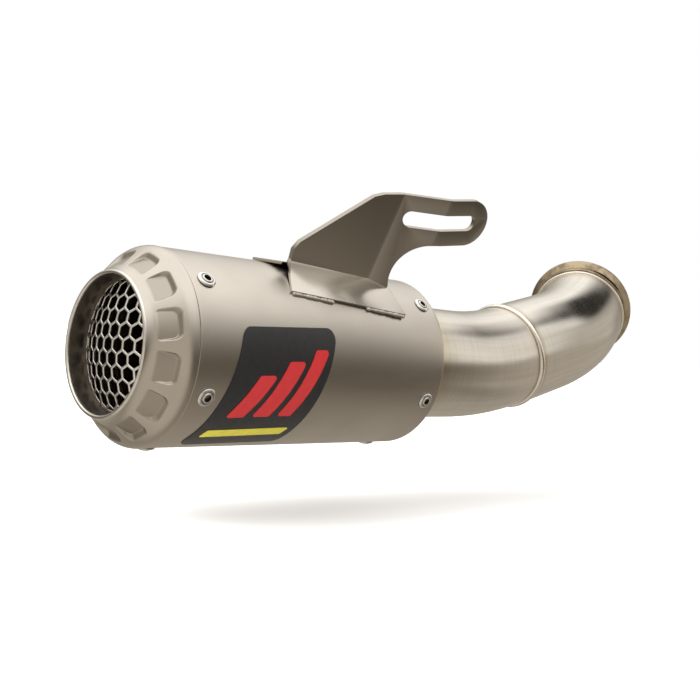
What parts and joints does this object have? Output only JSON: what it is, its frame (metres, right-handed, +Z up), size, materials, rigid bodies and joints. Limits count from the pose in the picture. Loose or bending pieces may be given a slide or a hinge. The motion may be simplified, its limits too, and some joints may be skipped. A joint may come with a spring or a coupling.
{
  "type": "racing exhaust silencer",
  "caption": "Round titanium racing silencer with a mesh outlet, a pressed outlet cap, a slotted hanger and a bent link pipe with a flanged inlet.",
  "frame": {"origin": "centre of the inlet flange's open face, on the elbow's axis", "axes": "+X along the silencer's axis from the outlet to the inlet, +Z up, +Y away from the side with the badge"},
  "size_m": [0.4627, 0.1285, 0.1492],
  "materials": {
    "blasted_titanium": "bead blasted satin",
    "tube_titanium": "polished tube, tinted near the welds",
    "weld_titanium": "polished weld bead",
    "mesh_steel": "bright",
    "core_steel": "mill finish",
    "steel_wool": "wool",
    "glass_fibre": "matt fibre",
    "flange_titanium": "turned satin",
    "hanger_titanium": "rolled sheet, satin",
    "badge_black": "satin",
    "badge_red": "satin",
    "badge_yellow": "satin",
    "rivet_steel": "bright"
  },
  "bodies": {
    "root": {"sleeve": "blasted_titanium", "outlet_cap": "blasted_titanium", "mouth_tube": "tube_titanium", "lip_bead": "weld_titanium", "mesh_dome": "mesh_steel", "core_tube": "core_steel", "wool_wrap": "steel_wool", "fibre_packing": "glass_fibre", "inlet_cap": "blasted_titanium", "neck_bead": "weld_titanium", "link_pipe": "tube_titanium", "joint_bead": "weld_titanium", "elbow": "tube_titanium", "flange_bead": "weld_titanium", "inlet_flange": "flange_titanium", "hanger_plate": "hanger_titanium", "hanger_backing": "hanger_titanium", "foot_weld_front": "weld_titanium", "foot_weld_rear": "weld_titanium", "backing_weld": "weld_titanium", "badge_plate": "badge_black", "badge_mark": "badge_red", "badge_stripe": "badge_yellow", "outlet_rivet_1": "rivet_steel", "inlet_rivet_1": "rivet_steel", "outlet_rivet_2": "rivet_steel", "inlet_rivet_2": "rivet_steel", "outlet_rivet_3": "rivet_steel", "inlet_rivet_3": "rivet_steel", "outlet_rivet_4": "rivet_steel", "inlet_rivet_4": "rivet_steel", "outlet_rivet_5": "rivet_steel", "inlet_rivet_5": "rivet_steel"}
  },
  "joints": []
}
